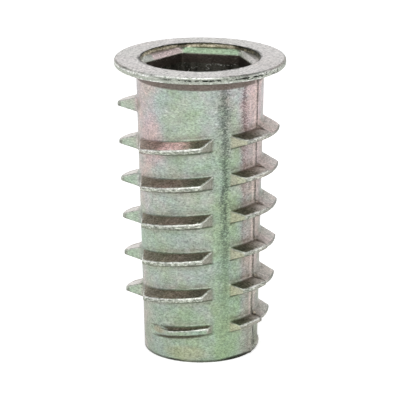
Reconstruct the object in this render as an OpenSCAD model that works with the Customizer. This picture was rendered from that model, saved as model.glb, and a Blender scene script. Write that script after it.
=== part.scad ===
// Flanged hex-drive threaded insert, die-cast in one piece of zinc alloy.
// Millimetres, +Z up. The origin is the middle of the lower end face.
// The two die halves met on the XZ plane and drew apart along Y. A thread cast
// in them can't follow a true helix: in each half a turn keeps its height along
// the draw, so it is half a ring tilted about Y, and the halves meet in a small
// step. The corners of the die cut each turn into face teeth and side teeth, and
// the front side teeth at the low end of each turn lean round on their own draw.

/* [Body] */
// Height from the lower end face to the top of the flange
total_h = 30; // [28:0.5:36]
// Outer diameter of the body just under the flange
body_d_top = 12.7; // [12.5:0.05:13.2]
// Outer diameter of the body at the lower end
body_d_bottom = 11.4; // [11.2:0.05:12]
// Chamfer round the lower end
body_chamfer = 0.1; // [0.05:0.05:0.3]

/* [Flange] */
// Diameter of the flange
flange_d = 17; // [16:0.1:20]
// Thickness of the flange
flange_h = 0.75; // [0.6:0.05:1.2]
// Chamfer round both edges of the rim
rim_chamfer = 0.15; // [0.05:0.05:0.25]
// Radius of the fillet between the flange and the body
neck_fillet = 1; // [0.6:0.1:1.2]

/* [Hex socket] */
// Diameter of the round mouth in the flange
mouth_d = 11.8; // [11.6:0.1:12]
// Depth of the round mouth
mouth_h = 0.4; // [0.2:0.1:0.6]
// Width across the flats of the socket
hex_af = 10; // [9.5:0.1:10.1]
// Distance by which each flat leans out at the top of its lead-in
hex_lead = 0.35; // [0.1:0.05:0.4]
// Height of the lead-in under the mouth
hex_lead_h = 0.5; // [0.3:0.1:1]
// Depth of the socket, from the top of the flange
hex_depth = 12; // [8:0.5:13]
// Turn of the socket's corners from the parting plane
hex_turn = 16; // [10:1:20]

/* [Threaded bore] */
// Minor diameter of the internal thread, M10 x 1.5
bore_d = 8.5; // [8:0.1:9]
// Diameter of the countersink at the lower end of the bore
bore_csk_d = 10; // [9.5:0.1:10.2]

/* [Outer thread] */
// Axial distance from one turn to the next
thread_pitch = 3.83; // [3.6:0.01:4]
// Depth of the first front turn below the top of the flange
first_turn = 7.86; // [7.5:0.02:8.5]
// Crest diameter of the thread's cone at the top of the flange
crest_d_top = 16.4; // [15.8:0.1:17]
// Crest diameter of the thread's cone at the lower end
crest_d_bottom = 14.4; // [13.8:0.1:15]
// Height of the flat on the front crests
crest_land = 0.44; // [0.36:0.02:0.5]
// Height of the flat on the rear crests
rear_land = 0.3; // [0.26:0.02:0.5]
// Angle of the upper flank to the horizontal
upper_flank = 17; // [15:1:22]
// Angle of the lower flank to the horizontal
lower_flank = 14; // [11:1:16]
// Tilt of each half turn about the draw direction
turn_tilt = 6.8; // [6:0.1:7.5]
// Height by which the rear die half's turns sit low
die_shift = 0.15; // [0.05:0.05:0.4]

/* [Teeth] */
// Distance from the parting plane to the ends of the side teeth
side_end = 3.56; // [3.3:0.02:3.8]
// Distance from the axis to the plane of a face tooth's trailing end
trail_end = 4.54; // [4.3:0.02:4.7]
// Draft of that trailing end
trail_draft = 6.6; // [5:0.2:8]
// Distance from the axis to the plane of a face tooth's leading ramp
lead_end = 5.94; // [5.8:0.02:6.1]
// Angle of that ramp to the draw direction
lead_ramp = 27; // [22:1:32]
// Lean of all those planes towards the axis, going down
end_lean = 1; // [0.5:0.25:1.5]

/* [Low side teeth] */
// Turn of these teeth's own draw direction from the front die's
slide_turn = 65; // [55:1:75]
// Drop of these teeth's half rings below the front turns
slide_drop = 0.83; // [0.7:0.01:0.95]
// Axial distance from one of these teeth to the next
slide_pitch = 3.87; // [3.8:0.01:3.9]
// Distance by which these teeth stand out past the cone of the other crests
slide_proud = 0.15; // [0:0.05:0.3]

/* [Run-out] */
// Crest diameter of the last rear turn
runout_rear_d = 13.8; // [13.4:0.1:14.2]
// Crest diameter of the last front side tooth
runout_side_d = 13.9; // [13.6:0.1:14.1]
// Crest diameter of the last front face tooth
runout_face_d = 13; // [12.8:0.1:13.2]
// Height of the flat on that tooth's crest
runout_land = 0.54; // [0.4:0.02:0.7]
// Distance by which that tooth sits high
runout_rise = 0.16; // [0:0.02:0.2]
// Distance from the axis to the plane of that tooth's leading ramp
runout_end = 5.72; // [5.68:0.01:5.74]
// Angle of that ramp to the draw direction
runout_ramp = 60; // [58:0.5:61]
// Distance from the draw plane to the foot of that ramp
runout_foot = 3.05; // [3:0.05:3.1]

/* [Hidden] */
$fn = 96;
turns = 5;
root_sink = 0.4;
reach = 12;
eps = 0.01;
seam_turn = 50;
fillet_step = 15;

body_h = total_h - flange_h;
fillet_z = body_h - neck_fillet;
mouth_z = total_h - mouth_h;
lead_z = mouth_z - hex_lead_h;
hex_floor = total_h - hex_depth;
csk_h = (bore_csk_d - bore_d) / 2;
first_z = total_h - first_turn;
rear_rise = thread_pitch / 2 - die_shift;

// Radii of the body and of the crests at a height, and the height of front turn k
function body_r(z) = (body_d_bottom + (body_d_top - body_d_bottom) * z / body_h) / 2;
function crest_r(z) = (crest_d_bottom + (crest_d_top - crest_d_bottom) * z / total_h) / 2;
function turn_z(k) = first_z - k * thread_pitch;

module outer_body() {
    rotate([0, 0, seam_turn])
        rotate_extrude()
            polygon([
                [0, 0],
                [body_r(0) - body_chamfer, 0],
                [body_r(body_chamfer), body_chamfer],
                for (a = [180 : -fillet_step : 90]) [
                    body_r(fillet_z) + neck_fillet * (1 + cos(a)),
                    fillet_z + neck_fillet * sin(a)
                ],
                [flange_d / 2 - rim_chamfer, body_h],
                [flange_d / 2, body_h + rim_chamfer],
                [flange_d / 2, total_h - rim_chamfer],
                [flange_d / 2 - rim_chamfer, total_h],
                [0, total_h]
            ]);
}

// One half turn on the -Y side, rising towards +X
module half_turn(z, crest, land = crest_land) {
    inner = body_r(z) - root_sink;
    depth = crest - inner;
    translate([0, 0, z])
        rotate([0, -turn_tilt, 0])
            rotate([0, 0, 180])
                rotate_extrude(angle = 180)
                    polygon([
                        [inner, -land / 2 - depth * tan(lower_flank)],
                        [crest, -land / 2],
                        [crest, land / 2],
                        [inner, land / 2 + depth * tan(upper_flank)]
                    ]);
}

// All space on the axis side of a plane that stands at a distance, at an azimuth
module within(azimuth, distance, z = first_z) {
    rotate([0, 0, azimuth])
        translate([distance, 0, z])
            rotate([0, end_lean, 0])
                translate([-2 * reach, -reach, -total_h])
                    cube([2 * reach, 2 * reach, 2 * total_h]);
}

// The quarter of all space on the -Y side, towards +X or towards -X
module quarter(side) {
    mirror([(1 - side) / 2, 0, 0])
        translate([0, -reach, 0])
            cube([reach, reach, total_h]);
}

module face_zone() {
    intersection() {
        within(-trail_draft, trail_end);
        within(180 + lead_ramp, lead_end);
    }
}

module side_zone() {
    within(-90, side_end);
}

// Turns of the front die half: face teeth, and side teeth at the high end
module front_teeth() {
    intersection() {
        for (k = [0 : turns - 1])
            half_turn(turn_z(k), crest_r(turn_z(k)));
        union() {
            face_zone();
            intersection() {
                side_zone();
                quarter(1);
            }
        }
    }
}

// Side teeth at the low end, the first of them above the first front turn
module low_side_teeth() {
    intersection() {
        for (k = [-1 : turns - 1])
            rotate([0, 0, -slide_turn])
                half_turn(first_z - slide_drop - k * slide_pitch, crest_r(turn_z(k)) + slide_proud);
        side_zone();
        quarter(-1);
    }
}

// The last front turn is a lower side tooth and a face tooth that fades in a ramp
module last_teeth() {
    intersection() {
        half_turn(turn_z(turns), runout_side_d / 2);
        side_zone();
        quarter(1);
    }
    intersection() {
        half_turn(turn_z(turns) + runout_rise, runout_face_d / 2, runout_land);
        within(-trail_draft, trail_end);
        within(180 + runout_ramp, runout_end, turn_z(turns));
        within(180, runout_foot, turn_z(turns));
    }
}

// Turns of the rear die half: face teeth and both sets of side teeth
module rear_teeth() {
    intersection() {
        union() {
            for (k = [0 : turns - 1])
                half_turn(turn_z(k), crest_r(turn_z(k)), rear_land);
            half_turn(turn_z(turns), runout_rear_d / 2, rear_land);
        }
        union() {
            face_zone();
            side_zone();
        }
    }
}

module outer_thread() {
    front_teeth();
    low_side_teeth();
    last_teeth();
    translate([0, 0, rear_rise])
        rotate([0, 0, 180])
            rear_teeth();
}

// A six-sided form whose flats lean out from the socket's, going up
module hex_lead_in() {
    intersection_for (i = [0 : 5])
        rotate([0, 0, hex_turn + 30 + 60 * i])
            translate([hex_af / 2, 0, lead_z])
                rotate([0, atan(hex_lead / hex_lead_h), 0])
                    translate([-2 * reach, -reach, -reach])
                        cube([2 * reach, 2 * reach, 3 * reach]);
}

module socket() {
    intersection() {
        translate([0, 0, hex_floor])
            cylinder(h = hex_depth + eps, d = mouth_d);
        union() {
            translate([0, 0, mouth_z])
                cylinder(h = reach, r = reach);
            hex_lead_in();
            translate([0, 0, hex_floor])
                rotate([0, 0, hex_turn])
                    cylinder(h = lead_z - hex_floor, d = hex_af / cos(30), $fn = 6);
        }
    }
}

module bore() {
    rotate_extrude()
        polygon([
            [0, -eps],
            [bore_csk_d / 2 + eps, -eps],
            [bore_d / 2, csk_h],
            [bore_d / 2, hex_floor - csk_h],
            [bore_csk_d / 2, hex_floor],
            [bore_csk_d / 2, hex_floor + eps],
            [0, hex_floor + eps]
        ]);
}

module insert() {
    color("darkseagreen")
        difference() {
            union() {
                outer_body();
                outer_thread();
            }
            socket();
            bore();
        }
}

insert();
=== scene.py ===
import math

import bpy
import numpy as np
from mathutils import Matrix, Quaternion, Vector


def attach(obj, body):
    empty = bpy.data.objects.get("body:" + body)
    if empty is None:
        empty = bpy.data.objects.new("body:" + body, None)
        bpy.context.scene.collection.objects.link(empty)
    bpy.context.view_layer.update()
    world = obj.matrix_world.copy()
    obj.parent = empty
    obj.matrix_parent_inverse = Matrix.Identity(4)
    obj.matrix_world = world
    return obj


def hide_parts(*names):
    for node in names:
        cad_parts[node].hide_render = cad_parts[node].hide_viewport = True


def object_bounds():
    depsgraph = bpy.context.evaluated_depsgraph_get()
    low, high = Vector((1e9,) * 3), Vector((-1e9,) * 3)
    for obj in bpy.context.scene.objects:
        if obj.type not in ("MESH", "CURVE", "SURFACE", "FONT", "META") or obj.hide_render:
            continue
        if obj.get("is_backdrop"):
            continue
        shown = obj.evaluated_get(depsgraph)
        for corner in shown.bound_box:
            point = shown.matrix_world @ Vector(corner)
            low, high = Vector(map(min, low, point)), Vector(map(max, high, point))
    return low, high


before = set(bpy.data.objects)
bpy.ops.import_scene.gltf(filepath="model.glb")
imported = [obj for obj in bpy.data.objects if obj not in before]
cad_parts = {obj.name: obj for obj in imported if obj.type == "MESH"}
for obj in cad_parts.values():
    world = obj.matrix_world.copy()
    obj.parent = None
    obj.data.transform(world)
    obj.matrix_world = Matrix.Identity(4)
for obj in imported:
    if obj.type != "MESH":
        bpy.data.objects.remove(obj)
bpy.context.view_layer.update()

# ------------------------------------------------------------------ body and flange
# One die-cast zinc form, round about Z: the body tapers down for its draft, a
# fillet carries it into the thin flange, and both rims are broken by a small
# chamfer. Everything is modelled in millimetres and brought to metres at the end.
TOTAL_H = 30.0
BODY_D_TOP, BODY_D_BOTTOM, BODY_CHAMFER = 12.7, 11.4, 0.1
FLANGE_D, FLANGE_H, RIM_CHAMFER = 17.0, 0.75, 0.15
NECK_FILLET, FILLET_STEP = 1.0, 10
BODY_H = TOTAL_H - FLANGE_H
ROUND_STEPS = 256


def body_r(z):
    """Radius of the tapered body at a height."""
    return (BODY_D_BOTTOM + (BODY_D_TOP - BODY_D_BOTTOM) * z / BODY_H) / 2


def only(piece):
    """Makes a piece the only one that an operator acts on."""
    bpy.ops.object.select_all(action="DESELECT")
    piece.select_set(True)
    bpy.context.view_layer.objects.active = piece
    return piece


def turned(name, section, steps=ROUND_STEPS):
    """A solid of revolution: a disc drawn out upwards and resized at each step."""
    bpy.ops.object.select_all(action="DESELECT")
    (radius, height), *rest = section
    bpy.ops.mesh.primitive_circle_add(
        vertices=steps, radius=radius, fill_type="NGON", location=(0, 0, height)
    )
    piece = bpy.context.object
    piece.name = name
    bpy.ops.object.mode_set(mode="EDIT")
    for next_radius, next_height in rest:
        bpy.ops.mesh.extrude_region_move(
            TRANSFORM_OT_translate={"value": (0, 0, next_height - height)}
        )
        share = next_radius / radius
        bpy.ops.transform.resize(value=(share, share, 1))
        radius, height = next_radius, next_height
    bpy.ops.mesh.select_all(action="SELECT")
    bpy.ops.mesh.normals_make_consistent(inside=False)
    bpy.ops.object.mode_set(mode="OBJECT")
    bpy.ops.object.transform_apply(location=True, rotation=True, scale=True)
    return piece


fillet_z = BODY_H - NECK_FILLET
fillet = [
    (
        body_r(fillet_z) + NECK_FILLET * (1 - math.cos(math.radians(a))),
        fillet_z + NECK_FILLET * math.sin(math.radians(a)),
    )
    for a in range(0, 90 + FILLET_STEP, FILLET_STEP)
]
body = turned(
    "insert_body",
    [
        (body_r(0) - BODY_CHAMFER, 0),
        (body_r(BODY_CHAMFER), BODY_CHAMFER),
        *fillet,
        (FLANGE_D / 2 - RIM_CHAMFER, BODY_H),
        (FLANGE_D / 2, BODY_H + RIM_CHAMFER),
        (FLANGE_D / 2, TOTAL_H - RIM_CHAMFER),
        (FLANGE_D / 2 - RIM_CHAMFER, TOTAL_H),
    ],
)

# ----------------------------------------------------------------------- hex socket
# The drive for a 10 mm key, cast by a core pin in the middle of the die: a round
# mouth, a short lead-in whose flats lean out, and six straight walls below it.
MOUTH_D, MOUTH_H = 11.8, 0.4
HEX_AF, HEX_DEPTH = 10.0, 12.0
HEX_LEAD, HEX_LEAD_H = 0.35, 0.5
HEX_TURN = math.radians(16)
OVER = 1.0
FACES_UP = 0.9


def boolean(piece, tool, operation):
    """Cuts, meets or adds the tool, which is used up."""
    only(piece)
    modifier = piece.modifiers.new("cut", "BOOLEAN")
    modifier.operation = operation
    modifier.solver = "EXACT"
    modifier.object = tool
    bpy.ops.object.modifier_apply(modifier=modifier.name)
    bpy.data.objects.remove(tool)
    return piece


hex_floor = TOTAL_H - HEX_DEPTH
lead_z = TOTAL_H - MOUTH_H - HEX_LEAD_H
bpy.ops.object.select_all(action="DESELECT")
bpy.ops.mesh.primitive_cylinder_add(
    vertices=6,
    radius=HEX_AF / 2 / math.cos(math.pi / 6),
    depth=lead_z - hex_floor,
    location=(0, 0, (lead_z + hex_floor) / 2),
)
key_pin = bpy.context.object
bpy.ops.object.mode_set(mode="EDIT")
bpy.ops.mesh.select_all(action="DESELECT")
bpy.ops.object.mode_set(mode="OBJECT")
for face in key_pin.data.polygons:
    face.select = face.normal.z > FACES_UP
bpy.ops.object.mode_set(mode="EDIT")
bpy.ops.mesh.extrude_region_move(
    TRANSFORM_OT_translate={"value": (0, 0, HEX_LEAD_H + OVER)}
)
lean = 1 + HEX_LEAD / (HEX_AF / 2) * (HEX_LEAD_H + OVER) / HEX_LEAD_H
bpy.ops.transform.resize(value=(lean, lean, 1))
bpy.ops.object.mode_set(mode="OBJECT")
key_pin.rotation_euler.z = HEX_TURN - math.pi / 6
bpy.ops.object.transform_apply(location=True, rotation=True, scale=True)
boolean(
    key_pin,
    turned(
        "pin_round", [(MOUTH_D / 2, hex_floor - OVER), (MOUTH_D / 2, TOTAL_H + OVER)]
    ),
    "INTERSECT",
)
boolean(body, key_pin, "DIFFERENCE")
boolean(
    body,
    turned(
        "mouth_pin", [(MOUTH_D / 2, TOTAL_H - MOUTH_H), (MOUTH_D / 2, TOTAL_H + OVER)]
    ),
    "DIFFERENCE",
)

# -------------------------------------------------------------------- threaded bore
# A plain bore tapped M10 x 1.5 right through below the socket, with a countersink
# at each end. The groove is one 60 degree form driven up the axis by the pitch.
BORE_D, BORE_CSK_D = 8.5, 10.0
TAP_D, TAP_PITCH, TAP_FLANK = 10.0, 1.5, math.radians(30)
TAP_STEPS, TAP_OVERLAP, WELD = 64, 0.1, 1e-4
csk_h = (BORE_CSK_D - BORE_D) / 2
boolean(
    body,
    turned(
        "bore_drill",
        [
            (BORE_CSK_D / 2 + OVER, -OVER),
            (BORE_D / 2, csk_h),
            (BORE_D / 2, hex_floor - csk_h),
            (BORE_CSK_D / 2, hex_floor),
            (BORE_CSK_D / 2, hex_floor + OVER),
        ],
    ),
    "DIFFERENCE",
)


def draw(name, corners):
    """A flat face in the XZ plane, drawn corner by corner from a point."""
    bpy.ops.object.select_all(action="DESELECT")
    (x, z), *rest = corners
    bpy.ops.mesh.primitive_plane_add(size=1, location=(x, 0, z))
    piece = bpy.context.object
    piece.name = name
    bpy.ops.object.mode_set(mode="EDIT")
    bpy.ops.mesh.merge(type="CENTER")
    for next_x, next_z in rest:
        bpy.ops.mesh.extrude_region_move(
            TRANSFORM_OT_translate={"value": (next_x - x, 0, next_z - z)}
        )
        x, z = next_x, next_z
    bpy.ops.mesh.select_all(action="SELECT")
    bpy.ops.mesh.edge_face_add()
    bpy.ops.object.mode_set(mode="OBJECT")
    bpy.ops.object.transform_apply(location=True, rotation=True, scale=True)
    return piece


groove_root, groove_mouth = TAP_PITCH / 8, TAP_PITCH * 3 / 4
inner_w = groove_mouth + 2 * TAP_OVERLAP * math.tan(TAP_FLANK)
tap = draw(
    "tap_form",
    [
        (BORE_D / 2 - TAP_OVERLAP, -inner_w / 2),
        (TAP_D / 2, -groove_root / 2),
        (TAP_D / 2, groove_root / 2),
        (BORE_D / 2 - TAP_OVERLAP, inner_w / 2),
    ],
)
tap.location.z = -TAP_PITCH
screw = tap.modifiers.new("tap", "SCREW")
screw.axis = "Z"
screw.screw_offset = TAP_PITCH
screw.iterations = math.ceil((hex_floor + 2 * TAP_PITCH) / TAP_PITCH)
screw.steps = screw.render_steps = TAP_STEPS
bpy.ops.object.modifier_apply(modifier=screw.name)
bpy.ops.object.transform_apply(location=True, rotation=True, scale=True)
bpy.ops.object.mode_set(mode="EDIT")
bpy.ops.mesh.select_all(action="SELECT")
bpy.ops.mesh.remove_doubles(threshold=WELD)
bpy.ops.mesh.normals_make_consistent(inside=False)
bpy.ops.object.mode_set(mode="OBJECT")
boolean(body, tap, "DIFFERENCE")

# --------------------------------------------------------------------- outer thread
# A coarse wood thread cast in a two-part die. In each half a turn keeps its height
# along the draw, so it is half a ring tilted about Y, cut into face teeth and side
# teeth; the low side teeth of the front half lean round on their own draw.
CREST_D_TOP, CREST_D_BOTTOM = 16.4, 14.4
THREAD_PITCH, FIRST_TURN, TURNS = 3.83, 7.86, 5
CREST_LAND, REAR_LAND = 0.44, 0.3
UPPER_FLANK, LOWER_FLANK = math.radians(17), math.radians(14)
TURN_TILT = math.radians(6.8)
DIE_SHIFT = 0.15
ROOT_SINK = 0.2
RING_STEPS = 96
SIDE_END, CORNER_CUT = 3.56, 0.18
TRAIL_END, TRAIL_DRAFT = 4.54, math.radians(6.6)
LEAD_END, LEAD_RAMP = 5.94, math.radians(27)
END_LEAN = math.radians(1)
SLIDE_TURN, SLIDE_DROP, SLIDE_PITCH = math.radians(65), 0.83, 3.87
SLIDE_PROUD = 0.15
first_z = TOTAL_H - FIRST_TURN


def crest_r(z):
    """Radius of the cone that the crests lie on, at a height."""
    return (CREST_D_BOTTOM + (CREST_D_TOP - CREST_D_BOTTOM) * z / TOTAL_H) / 2


def turn_z(k):
    """Height of front turn k."""
    return first_z - k * THREAD_PITCH


root_r = body_r(first_z) - ROOT_SINK
depth = crest_r(first_z) - root_r


def half_ring(name, land):
    """Half a ring on the -Y side, with a flat of this height on its crest."""
    ring = draw(
        name,
        [
            (root_r, -land / 2 - depth * math.tan(LOWER_FLANK)),
            (root_r + depth, -land / 2),
            (root_r + depth, land / 2),
            (root_r, land / 2 + depth * math.tan(UPPER_FLANK)),
        ],
    )
    bpy.ops.object.mode_set(mode="EDIT")
    bpy.ops.mesh.select_all(action="SELECT")
    bpy.ops.mesh.spin(steps=RING_STEPS, angle=math.pi, axis=(0, 0, 1))
    bpy.ops.mesh.select_all(action="SELECT")
    bpy.ops.mesh.normals_make_consistent(inside=False)
    bpy.ops.object.mode_set(mode="OBJECT")
    return ring


def half_turn(ring, height, crest, turn=0.0):
    """A copy of a half ring at its own size, tilt and height."""
    only(ring)
    bpy.ops.object.duplicate(linked=False)
    tooth = bpy.context.object
    tooth.scale = (crest / crest_r(first_z), crest / crest_r(first_z), 1)
    tooth.rotation_euler = (0, -TURN_TILT, turn)
    tooth.location = (0, 0, height)
    bpy.ops.object.transform_apply(location=True, rotation=True, scale=True)
    return tooth


def trim(tooth, azimuth, distance, height=first_z, lean=END_LEAN):
    """Takes off what lies beyond a plane that stands at a distance, at an azimuth."""
    only(tooth)
    facing = Vector((math.cos(azimuth), math.sin(azimuth), 0))
    bpy.ops.object.mode_set(mode="EDIT")
    bpy.ops.mesh.select_all(action="SELECT")
    bpy.ops.mesh.bisect(
        plane_co=facing * distance + Vector((0, 0, height)),
        plane_no=facing * math.cos(lean) - Vector((0, 0, math.sin(lean))),
        use_fill=True,
        clear_outer=True,
    )
    bpy.ops.object.mode_set(mode="OBJECT")
    return tooth


def face_tooth(ring, height, crest):
    """A tooth in the middle of its die half, with a ramp on its leading end."""
    tooth = trim(half_turn(ring, height, crest), -TRAIL_DRAFT, TRAIL_END)
    return trim(tooth, math.pi + LEAD_RAMP, LEAD_END)


def side_tooth(ring, height, crest, side):
    """A tooth beside the parting plane, at +X or at -X, with its corner broken."""
    tooth = trim(half_turn(ring, height, crest), -math.pi / 2, SIDE_END)
    trim(tooth, math.pi if side > 0 else 0.0, 0, lean=0)
    corner = Vector((side * math.sqrt(crest**2 - SIDE_END**2), -SIDE_END, 0))
    facing = (corner.normalized() + Vector((0, -1, 0))).normalized()
    away = math.atan2(facing.y, facing.x)
    return trim(tooth, away, corner.dot(facing) - CORNER_CUT, height)


def low_side_tooth(ring, height, crest):
    """A tooth at -X that leans round on its own draw direction."""
    tooth = half_turn(ring, height, crest, -SLIDE_TURN)
    trim(tooth, -math.pi / 2, SIDE_END)
    trim(tooth, 0, 0, lean=0)
    return trim(tooth, math.pi / 2, 0, lean=0)


front_ring = half_ring("front_ring", CREST_LAND)
teeth = []
for k in range(TURNS):
    crest = crest_r(turn_z(k))
    teeth += [
        face_tooth(front_ring, turn_z(k), crest),
        side_tooth(front_ring, turn_z(k), crest, 1),
    ]
for k in range(-1, TURNS):
    low_z = first_z - SLIDE_DROP - k * SLIDE_PITCH
    teeth.append(low_side_tooth(front_ring, low_z, crest_r(turn_z(k)) + SLIDE_PROUD))

# The thread runs out in its last turn: lower crests, and at the front a face tooth
# that fades into the body in a ramp, with its foot cut square by the die.
RUNOUT_REAR_D, RUNOUT_SIDE_D, RUNOUT_FACE_D = 13.8, 13.9, 13.0
RUNOUT_LAND, RUNOUT_RISE = 0.54, 0.16
RUNOUT_END, RUNOUT_RAMP, RUNOUT_FOOT = 5.72, math.radians(60), 3.05
last_z = turn_z(TURNS)
teeth.append(side_tooth(front_ring, last_z, RUNOUT_SIDE_D / 2, 1))
fading_ring = half_ring("fading_ring", RUNOUT_LAND)
fading = half_turn(fading_ring, last_z + RUNOUT_RISE, RUNOUT_FACE_D / 2)
trim(fading, -TRAIL_DRAFT, TRAIL_END)
trim(fading, math.pi + RUNOUT_RAMP, RUNOUT_END, last_z)
teeth.append(trim(fading, math.pi, RUNOUT_FOOT, last_z))

# The rear die half cut thinner crests. Its turns are the same teeth, turned half
# round and set half a pitch higher, less the shift between the halves.
rear_ring = half_ring("rear_ring", REAR_LAND)
for k in range(TURNS + 1):
    crest = crest_r(turn_z(k)) if k < TURNS else RUNOUT_REAR_D / 2
    for tooth in (
        face_tooth(rear_ring, turn_z(k), crest),
        side_tooth(rear_ring, turn_z(k), crest, 1),
        side_tooth(rear_ring, turn_z(k), crest, -1),
    ):
        only(tooth)
        tooth.rotation_euler.z = math.pi
        tooth.location.z = THREAD_PITCH / 2 - DIE_SHIFT
        bpy.ops.object.transform_apply(location=True, rotation=True, scale=True)
        teeth.append(tooth)
for ring in (front_ring, fading_ring, rear_ring):
    bpy.data.objects.remove(ring)

# ----------------------------------------------------------- parting line and flash
# Where the die halves met, a hair of metal stands out all the way up both sides.
# It leans a little to the front at the foot, where a lump of flash was left.
PARTING_FOOT, PARTING_TOP = -0.25, 0.05
HAIR_WIDE, HAIR_PROUD, HAIR_SINK = 0.2, 0.12, 0.3
FLASH_TURN, FLASH_UP, FLASH_IN = math.radians(14), 0.85, 0.07
FLASH_SIZE, FLASH_STEPS = (0.3, 0.9, 0.65), 32
draft = math.atan((BODY_D_TOP - BODY_D_BOTTOM) / 2 / BODY_H)
hair_r = body_r(BODY_H / 2) + (HAIR_PROUD - HAIR_SINK) / 2
for side in (1, -1):
    bpy.ops.object.select_all(action="DESELECT")
    bpy.ops.mesh.primitive_cube_add(size=1)
    hair = bpy.context.object
    hair.name = "parting_hair"
    hair.scale = (HAIR_PROUD + HAIR_SINK, HAIR_WIDE, BODY_H - 2 * BODY_CHAMFER)
    lean = math.atan((PARTING_TOP - PARTING_FOOT) / BODY_H)
    hair.rotation_euler = (-lean, side * draft, 0)
    hair.location = (side * hair_r, (PARTING_TOP + PARTING_FOOT) / 2, BODY_H / 2)
    bpy.ops.object.transform_apply(location=True, rotation=True, scale=True)
    teeth.append(hair)
bpy.ops.object.select_all(action="DESELECT")
bpy.ops.mesh.primitive_uv_sphere_add(
    segments=FLASH_STEPS, ring_count=FLASH_STEPS // 2, radius=1
)
flash = bpy.context.object
flash.name = "flash_lump"
flash.scale = FLASH_SIZE
flash.rotation_euler.z = FLASH_TURN
flash_r = body_r(FLASH_UP) - FLASH_IN
flash.location = (
    flash_r * math.cos(FLASH_TURN),
    flash_r * math.sin(FLASH_TURN),
    FLASH_UP,
)
bpy.ops.object.transform_apply(location=True, rotation=True, scale=True)
teeth.append(flash)

# --------------------------------------------------------------- the casting, whole
# The die fills as one piece of metal, so body and teeth are joined and fused, and
# the sharp corners come out with the small radii that a casting has.
FUSE_VOXEL = 0.1
SOFTEN, SOFTEN_TIMES = 0.5, 2
EDGE_PASSES = 3
MOST_FACES = 190000
MM, HAIR_SMALLER, HAIR_UP = 0.001, 0.9999, 0.000001
casting = only(body)
casting.name = "insert_casting"
for tooth in teeth:
    tooth.select_set(True)
bpy.ops.object.join()
remesh = casting.modifiers.new("fuse", "REMESH")
remesh.mode = "VOXEL"
remesh.voxel_size = FUSE_VOXEL
bpy.ops.object.modifier_apply(modifier=remesh.name)
soften = casting.modifiers.new("soften", "SMOOTH")
soften.factor, soften.iterations = SOFTEN, SOFTEN_TIMES
bpy.ops.object.modifier_apply(modifier=soften.name)


def hollows(mesh, name, passes):
    """Keeps at each point how far smoothing would lift it along its normal, in
    millimetres: up in hollows such as tooth roots, down on edges and crests."""
    count = len(mesh.vertices)
    start, normals = np.empty(count * 3), np.empty(count * 3)
    ends = np.empty(len(mesh.edges) * 2, int)
    mesh.vertices.foreach_get("co", start)
    mesh.vertex_normals.foreach_get("vector", normals)
    mesh.edges.foreach_get("vertices", ends)
    start, normals = start.reshape(-1, 3), normals.reshape(-1, 3)
    ends = ends.reshape(-1, 2)
    near = np.bincount(ends.ravel(), minlength=count)[:, None]
    here = start
    for _ in range(passes):
        total = [
            np.bincount(ends[:, 0], here[ends[:, 1], axis], count)
            + np.bincount(ends[:, 1], here[ends[:, 0], axis], count)
            for axis in range(3)
        ]
        here = np.stack(total, 1) / near
    lift = ((here - start) * normals).sum(1)
    mesh.attributes.new(name, "FLOAT", "POINT").data.foreach_set("value", lift)


hollows(casting.data, "smoothing_lift", EDGE_PASSES)
thin = casting.modifiers.new("thin", "DECIMATE")
thin.ratio = min(1.0, MOST_FACES / (2 * len(casting.data.polygons)))
bpy.ops.object.modifier_apply(modifier=thin.name)
casting.scale = (MM * HAIR_SMALLER,) * 3
casting.location.z = HAIR_UP
bpy.ops.object.transform_apply(location=True, rotation=True, scale=True)
bpy.ops.object.shade_smooth()

# ------------------------------------------------- finish: where a point lies on it
# The casting is zinc under a thin chromate film. The whole finish is worked out from
# a point's height, its angle round the axis and how far it stands out of the body,
# in millimetres and degrees, so that each mark sits where the casting wears it.
SQUEEZE = 1.9  # patterns on squat lie flat: wider than high by this share
# A fade is where it starts and ends, and then its two values, 0 and 1 if left out.
OUTER_SKIN = (-0.12, -0.06)
UNDER_FLANGE = (BODY_H - 1.75, BODY_H - 0.75, 1, 0)
TOOTH_FOOT = (0.03, 0.3)


def linear(hex_colour):
    """An sRGB hex colour as the linear values that a shader takes."""
    parts = [int(hex_colour[i : i + 2], 16) / 255 for i in (1, 3, 5)]
    return [
        c / 12.92 if c <= 0.04045 else ((c + 0.055) / 1.055) ** 2.4 for c in parts
    ] + [1.0]


def add(tree, kind, *inputs, **settings):
    """Adds a shader node with its settings. Links and values go to the inputs that
    it has in use, in order, and its first output in use is given back."""
    node = tree.nodes.new("ShaderNode" + kind)
    for name, value in settings.items():
        setattr(node, name, value)
    for socket, value in zip([s for s in node.inputs if s.enabled], inputs):
        if isinstance(value, bpy.types.NodeSocket):
            tree.links.new(value, socket)
        else:
            socket.default_value = value
    return next(s for s in node.outputs if s.enabled)


finish = bpy.data.materials.new("die_cast_zinc_chromate")
finish.use_nodes = True
tree = finish.node_tree
mix = {"data_type": "RGBA"}
coords = add(tree, "TexCoord").node.outputs
place = add(tree, "VectorMath", coords["Object"], 1 / MM, operation="SCALE")
squat = add(tree, "VectorMath", place, (1, 1, SQUEEZE), operation="MULTIPLY")
axes = add(tree, "SeparateXYZ", place).node.outputs
facing = add(tree, "SeparateXYZ", coords["Normal"]).node.outputs
flat = add(tree, "VectorMath", place, (1, 1, 0), operation="MULTIPLY")
radius = add(tree, "VectorMath", flat, operation="LENGTH")
azimuth = add(tree, "Math", axes["Y"], axes["X"], operation="ARCTAN2")
azimuth = add(tree, "Math", azimuth, math.radians(1), operation="DIVIDE")
height = axes["Z"]
wall = add(tree, "MapRange", height, 0, BODY_H, BODY_D_BOTTOM / 2, BODY_D_TOP / 2)
proud = add(tree, "Math", radius, wall, operation="SUBTRACT")
outside = add(tree, "MapRange", proud, *OUTER_SKIN)
below_flange = add(tree, "MapRange", height, *UNDER_FLANGE)
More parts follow.
